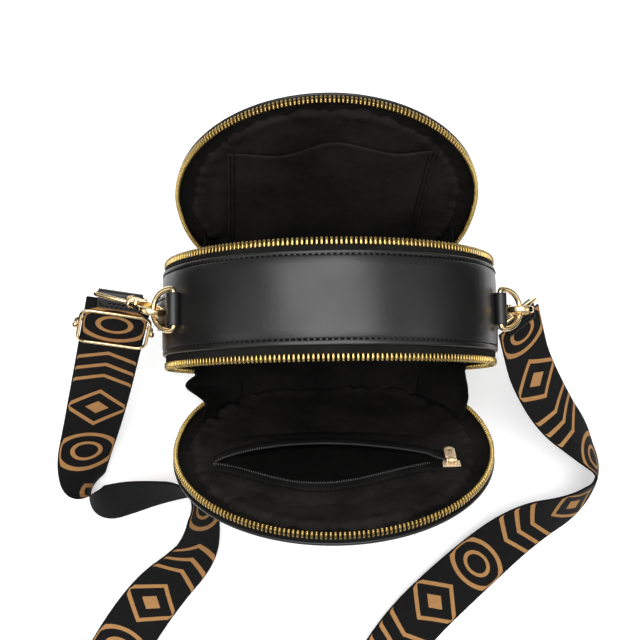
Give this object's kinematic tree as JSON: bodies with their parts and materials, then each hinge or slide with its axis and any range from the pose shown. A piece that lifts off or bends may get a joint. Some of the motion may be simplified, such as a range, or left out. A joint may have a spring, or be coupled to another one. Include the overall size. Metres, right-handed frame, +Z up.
{
  "type": "circle bag",
  "caption": "Round crossbody bag with a zipped panel on each face, a stiff leather band between them, and a clip-on webbing strap with an adjuster.",
  "frame": {"origin": "on the table under the middle of the band's flat bottom", "axes": "+X to the right seen from the front, +Y to the back panel, +Z up"},
  "size_m": [0.3527, 0.4639, 0.1874],
  "materials": {
    "black_leather": "smooth, semi-matt",
    "black_lining": "plain weave",
    "zip_tape": "woven tape",
    "coil_zip": "coil zip tape",
    "gold_teeth": "polished",
    "gold_hardware": "polished",
    "stiff_board": "matt",
    "webbing": "ribbed webbing"
  },
  "bodies": {
    "bag_body": {"gusset_band": "black_leather", "gusset_stiffener": "stiff_board", "gusset_lining": "black_lining", "compartment_divider": "black_lining", "front_gusset_tape": "zip_tape", "back_gusset_tape": "zip_tape", "front_gusset_teeth": "gold_teeth", "back_gusset_teeth": "gold_teeth", "front_zip_stop": "gold_teeth", "back_zip_stop": "gold_teeth", "left_ring_tab": "black_leather", "right_ring_tab": "black_leather", "front_hinge_strip": "black_leather", "back_hinge_strip": "black_leather", "front_left_wing": "black_lining", "front_right_wing": "black_lining", "back_left_wing": "black_lining", "back_right_wing": "black_lining", "left_swivel_loop": "gold_hardware", "right_swivel_loop": "gold_hardware", "left_strap_end": "black_leather", "right_strap_end": "black_leather", "strap_left_run": "webbing", "strap_front_loop": "webbing", "strap_right_run": "webbing"},
    "front_panel": {"front_panel_leather": "black_leather", "front_panel_board": "stiff_board", "front_panel_lining": "black_lining", "front_panel_tape": "zip_tape", "front_panel_teeth": "gold_teeth", "pocket_upper_zip": "coil_zip", "pocket_lower_zip": "coil_zip", "pocket_bag": "black_lining"},
    "back_panel": {"back_panel_leather": "black_leather", "back_panel_board": "stiff_board", "back_panel_lining": "black_lining", "back_panel_tape": "zip_tape", "back_panel_teeth": "gold_teeth", "slip_pocket": "black_lining"},
    "front_zip_slider": {"front_zip_slider": "gold_teeth"},
    "front_zip_pull": {"front_zip_pull": "gold_teeth"},
    "back_zip_slider": {"back_zip_slider": "gold_teeth"},
    "back_zip_pull": {"back_zip_pull": "gold_teeth"},
    "pocket_slider": {"pocket_slider": "gold_hardware"},
    "pocket_pull": {"pocket_pull": "gold_hardware"},
    "left_d_ring": {"left_d_ring": "gold_hardware"},
    "right_d_ring": {"right_d_ring": "gold_hardware"},
    "left_clasp": {"left_clasp_hook": "gold_hardware", "left_gate_pin": "gold_hardware"},
    "left_clasp_gate": {"left_clasp_gate": "gold_hardware"},
    "right_clasp": {"right_clasp_hook": "gold_hardware", "right_gate_pin": "gold_hardware"},
    "right_clasp_gate": {"right_clasp_gate": "gold_hardware"},
    "strap_adjuster": {"adjuster_frame": "gold_hardware", "adjuster_bar": "gold_hardware"}
  },
  "joints": [
    {"name": "front_panel_hinge", "type": "hinge", "parent": "bag_body", "child": "front_panel", "pos_m": [0, -0.0306, 0.0063], "axis": [1, 0, 0], "range_deg": [-28.2, 0], "deforming": ["front_hinge_strip", "front_left_wing", "front_right_wing"]},
    {"name": "back_panel_hinge", "type": "hinge", "parent": "bag_body", "child": "back_panel", "pos_m": [0, 0.0306, 0.0063], "axis": [-1, 0, 0], "range_deg": [-24.2, 0], "deforming": ["back_hinge_strip", "back_left_wing", "back_right_wing"]},
    {"name": "front_zip_travel", "type": "hinge", "parent": "bag_body", "child": "front_zip_slider", "pos_m": [0, -0.0306, 0.0924], "axis": [0, -1, 0], "range_deg": [0, 269.7]},
    {"name": "front_pull_swing", "type": "hinge", "parent": "front_zip_slider", "child": "front_zip_pull", "pos_m": [0.06533, -0.0306, 0.01982], "axis": [0, -1, 0], "range_deg": [-40, 123]},
    {"name": "back_zip_travel", "type": "hinge", "parent": "bag_body", "child": "back_zip_slider", "pos_m": [0, 0.0306, 0.0924], "axis": [0, 1, 0], "range_deg": [0, 269.7]},
    {"name": "back_pull_swing", "type": "hinge", "parent": "back_zip_slider", "child": "back_zip_pull", "pos_m": [-0.06533, 0.0306, 0.01982], "axis": [0, 1, 0], "range_deg": [-40, 123]},
    {"name": "pocket_zip_travel", "type": "slide", "parent": "front_panel", "child": "pocket_slider", "axis": [1, 0, 0], "range_m": [-0.13, 0]},
    {"name": "pocket_pull_swing", "type": "hinge", "parent": "pocket_slider", "child": "pocket_pull", "pos_m": [0.06715, -0.08273, 0.10044], "axis": [1, 0, 0], "range_deg": [0, 150]},
    {"name": "left_ring_swing", "type": "hinge", "parent": "bag_body", "child": "left_d_ring", "pos_m": [-0.08223, 0, 0.1458], "axis": [0, 1, 0], "range_deg": [-4, 2]},
    {"name": "left_clasp_swivel", "type": "hinge", "parent": "bag_body", "child": "left_clasp", "pos_m": [-0.0951, 0.00049, 0.13796], "axis": [-0.6717, 0.3295, -0.6635], "range_deg": [-12, 12]},
    {"name": "left_gate_press", "type": "hinge", "parent": "left_clasp", "child": "left_clasp_gate", "pos_m": [-0.10785, 0.00471, 0.13366], "axis": [0.2344, 0.9442, 0.2315], "range_deg": [0, 20], "stiffness_Nm_per_rad": 0.02, "springref_deg": -17.19},
    {"name": "right_ring_swing", "type": "hinge", "parent": "bag_body", "child": "right_d_ring", "pos_m": [0.09325, 0, 0.1227], "axis": [0, 1, 0], "range_deg": [-6, 6]},
    {"name": "right_clasp_swivel", "type": "hinge", "parent": "bag_body", "child": "right_clasp", "pos_m": [0.10534, 0.00004, 0.11437], "axis": [0.149, 0.0251, -0.9885], "range_deg": [-18, 18]},
    {"name": "right_gate_press", "type": "hinge", "parent": "right_clasp", "child": "right_clasp_gate", "pos_m": [0.10141, 0.00036, 0.10083], "axis": [-0.0037, 0.9997, 0.0249], "range_deg": [0, 20], "stiffness_Nm_per_rad": 0.02, "springref_deg": -17.19},
    {"name": "adjuster_slide", "type": "slide", "parent": "bag_body", "child": "strap_adjuster", "axis": [-0.2901, -0.6092, -0.7381], "range_m": [-0.0015, 0.012]}
  ]
}
